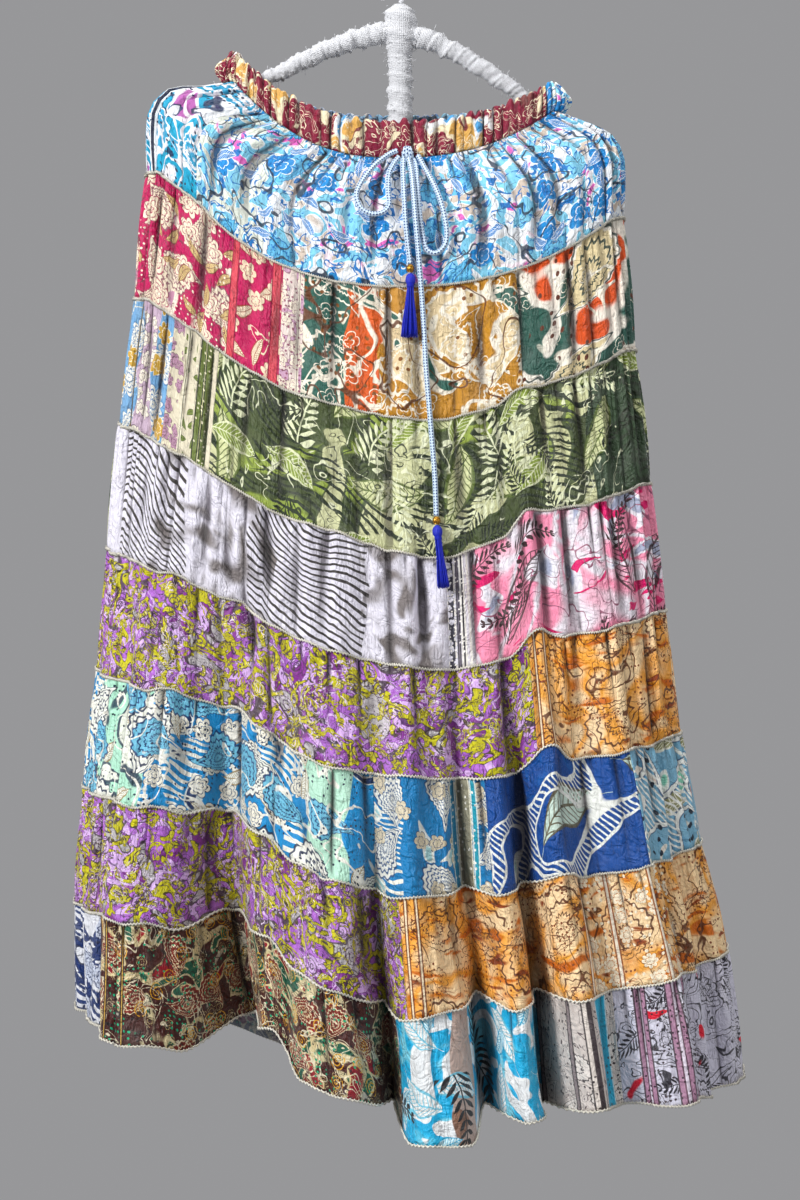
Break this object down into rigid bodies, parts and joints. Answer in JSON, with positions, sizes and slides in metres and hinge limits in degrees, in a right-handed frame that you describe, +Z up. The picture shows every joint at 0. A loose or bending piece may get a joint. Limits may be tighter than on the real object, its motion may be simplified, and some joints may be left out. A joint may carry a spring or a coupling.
{
  "type": "tiered ruffle skirt on a hanger",
  "caption": "Long tiered ruffle skirt of patchwork printed cloth with a gathered waistband and a tasselled drawstring, hung on a wrapped hanger.",
  "frame": {"origin": "inside top of the hanger's hook, where a rail carries it", "axes": "+Z up, front of the skirt towards -Y, the wearer's left towards +X as seen from the front"},
  "size_m": [0.6309, 0.339, 1.0938],
  "materials": {
    "amber_paisley": "printed satin",
    "blue_floral": "printed satin",
    "blue_paisley": "printed satin",
    "blue_silk_thread": "silky thread",
    "braided_cord": "matt braid",
    "cream_floral": "printed satin",
    "gauze_wrap": "matt cotton gauze strip",
    "gilt_bead": "polished",
    "green_leaf": "printed satin",
    "green_paisley": "printed satin",
    "indigo_leaf": "printed satin",
    "ink_border": "printed satin",
    "lilac_border": "printed satin",
    "maroon_paisley": "printed satin",
    "mint_paisley": "printed satin",
    "navy_print": "printed satin",
    "ochre_paisley": "printed satin",
    "olive_border": "printed satin",
    "pink_leaf": "printed satin",
    "rose_floral": "printed satin",
    "rose_stripe": "printed satin",
    "scroll_print": "printed satin",
    "sky_medallion": "printed satin",
    "sky_mint": "printed satin",
    "taupe_border": "printed satin",
    "teal_paisley": "printed satin",
    "turquoise_leaf": "printed satin",
    "violet_abstract": "printed satin",
    "wine_paisley": "printed satin",
    "zebra_wave": "printed satin"
  },
  "bodies": {
    "root": {"bead_long": "gilt_bead", "bead_short": "gilt_bead", "drawstring_knot": "braided_cord", "drawstring_left_loop": "braided_cord", "drawstring_long_tail": "braided_cord", "drawstring_right_loop": "braided_cord", "drawstring_short_tail": "braided_cord", "hanger_frame": "gauze_wrap", "hanger_hook": "gauze_wrap", "tassel_long": "blue_silk_thread", "tassel_short": "blue_silk_thread", "tier_1_a_blue_floral": "blue_floral", "tier_1_b_cream_floral": "cream_floral", "tier_1_c_teal_paisley": "teal_paisley", "tier_2_a_rose_floral": "rose_floral", "tier_2_b_rose_stripe": "rose_stripe", "tier_2_c_lilac_border": "lilac_border", "tier_2_d_ochre_paisley": "ochre_paisley", "tier_2_e_green_paisley": "green_paisley", "tier_2_f_rose_floral": "rose_floral", "tier_3_a_sky_medallion": "sky_medallion", "tier_3_b_olive_border": "olive_border", "tier_3_c_green_leaf": "green_leaf", "tier_3_d_sky_medallion": "sky_medallion", "tier_4_a_zebra_wave": "zebra_wave", "tier_4_b_ink_border": "ink_border", "tier_4_c_pink_leaf": "pink_leaf", "tier_4_d_green_leaf": "green_leaf", "tier_5_a_violet_abstract": "violet_abstract", "tier_5_b_amber_paisley": "amber_paisley", "tier_5_c_zebra_wave": "zebra_wave", "tier_6_a_mint_paisley": "mint_paisley", "tier_6_b_blue_paisley": "blue_paisley", "tier_6_c_indigo_leaf": "indigo_leaf", "tier_6_d_sky_mint": "sky_mint", "tier_6_e_mint_paisley": "mint_paisley", "tier_7_a_violet_abstract": "violet_abstract", "tier_7_b_amber_paisley": "amber_paisley", "tier_7_c_pink_leaf": "pink_leaf", "tier_8_a_navy_print": "navy_print", "tier_8_b_maroon_paisley": "maroon_paisley", "tier_8_c_turquoise_leaf": "turquoise_leaf", "tier_8_d_taupe_border": "taupe_border", "tier_8_e_scroll_print": "scroll_print", "tier_8_f_maroon_paisley": "maroon_paisley", "waistband_back": "blue_floral", "waistband_front": "wine_paisley", "waistband_side": "blue_floral"}
  },
  "joints": []
}
